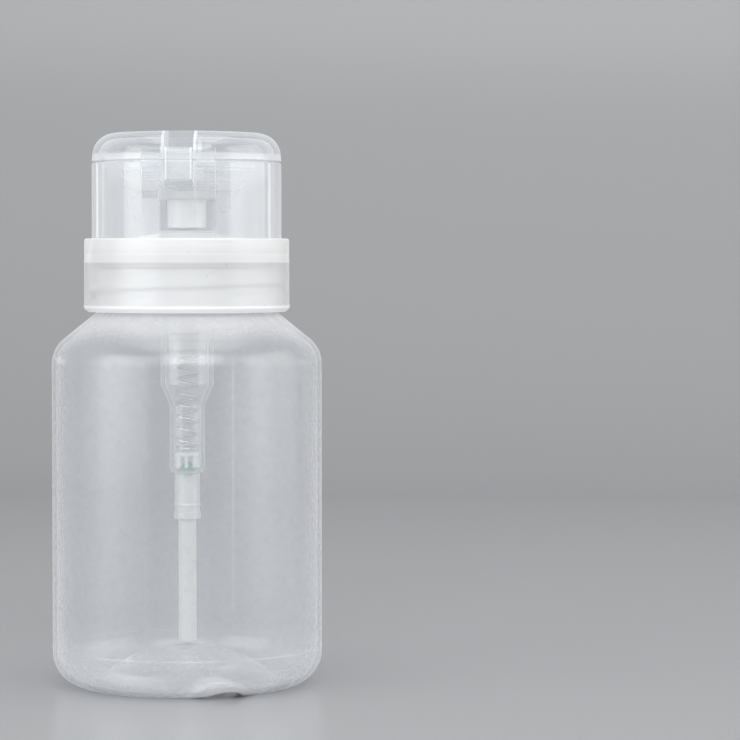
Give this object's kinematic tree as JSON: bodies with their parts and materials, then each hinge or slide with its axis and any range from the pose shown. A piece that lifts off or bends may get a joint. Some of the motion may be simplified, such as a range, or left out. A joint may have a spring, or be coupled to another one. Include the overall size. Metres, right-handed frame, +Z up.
{
  "type": "nail polish remover pump bottle",
  "caption": "Translucent squat bottle with a screw collar, clear guard cup, flip lid and push-down dish on a spring pump.",
  "frame": {"origin": "centre of the standing ring on the floor", "axes": "+Z up along the pump axis, -Y towards the lid's hinge, +Y towards the thumb tab"},
  "size_m": [0.0622, 0.0622, 0.1274],
  "materials": {
    "milky_plastic": "blow-moulded and injection-moulded natural polypropylene, milky and see-through",
    "clear_plastic": "clarified polypropylene, smooth and clear with a faint milky cast",
    "pump_plastic": "natural polypropylene, thick and white",
    "piston_plastic": "soft natural polyethylene",
    "housing_plastic": "natural polypropylene, see-through",
    "tube_plastic": "extruded polyethylene tube",
    "foam_liner": "foamed polyethylene",
    "spring_steel": "drawn stainless spring wire",
    "green_glass": "ground glass ball with a green cast"
  },
  "bodies": {
    "bottle_body": {"bottle": "milky_plastic"},
    "pump_core": {"pump_housing": "housing_plastic", "pump_gasket": "foam_liner", "housing_cap": "pump_plastic", "return_spring": "spring_steel", "ball_cage": "pump_plastic", "dip_tube": "tube_plastic"},
    "closure": {"collar": "milky_plastic", "neck_gasket": "foam_liner", "guard_cup": "clear_plastic", "hinge_strap": "clear_plastic", "hinge_leaf_left": "clear_plastic", "hinge_leaf_right": "clear_plastic"},
    "flip_lid": {"lid": "clear_plastic"},
    "plunger": {"stem": "pump_plastic", "piston": "piston_plastic"},
    "press_dish": {"dish": "pump_plastic", "nozzle": "pump_plastic"},
    "inlet_valve": {"inlet_ball": "green_glass"},
    "outlet_valve": {"outlet_ball": "green_glass"}
  },
  "joints": [
    {"name": "thread_lift", "type": "slide", "parent": "bottle_body", "child": "pump_core", "axis": [0, 0, 1], "range_m": [0, 0.0053]},
    {"name": "collar_turn", "type": "hinge", "parent": "pump_core", "child": "closure", "pos_m": [0, 0, 0.0975], "axis": [0, 0, 1], "range_deg": [0, 450]},
    {"name": "lid_hinge", "type": "hinge", "parent": "closure", "child": "flip_lid", "pos_m": [0, -0.0237, 0.1202], "axis": [1, 0, 0], "range_deg": [0, 140], "deforming": ["hinge_strap", "hinge_leaf_left", "hinge_leaf_right"]},
    {"name": "dish_press", "type": "slide", "parent": "pump_core", "child": "plunger", "axis": [0, 0, -1], "range_m": [0, 0.0068], "stiffness_N_per_m": 900, "springref_m": -0.006, "deforming": ["return_spring"]},
    {"name": "dish_spin", "type": "hinge", "parent": "plunger", "child": "press_dish", "pos_m": [0, 0, 0.113], "axis": [0, 0, 1], "continuous": true},
    {"name": "inlet_ball_lift", "type": "slide", "parent": "pump_core", "child": "inlet_valve", "axis": [0, 0, 1], "range_m": [0, 0.001]},
    {"name": "outlet_ball_lift", "type": "slide", "parent": "plunger", "child": "outlet_valve", "axis": [0, 0, 1], "range_m": [0, 0.001]}
  ],
  "couplings": [
    {"joint": "thread_lift", "follows": "collar_turn", "m_per_rad": 0.00066845}
  ]
}
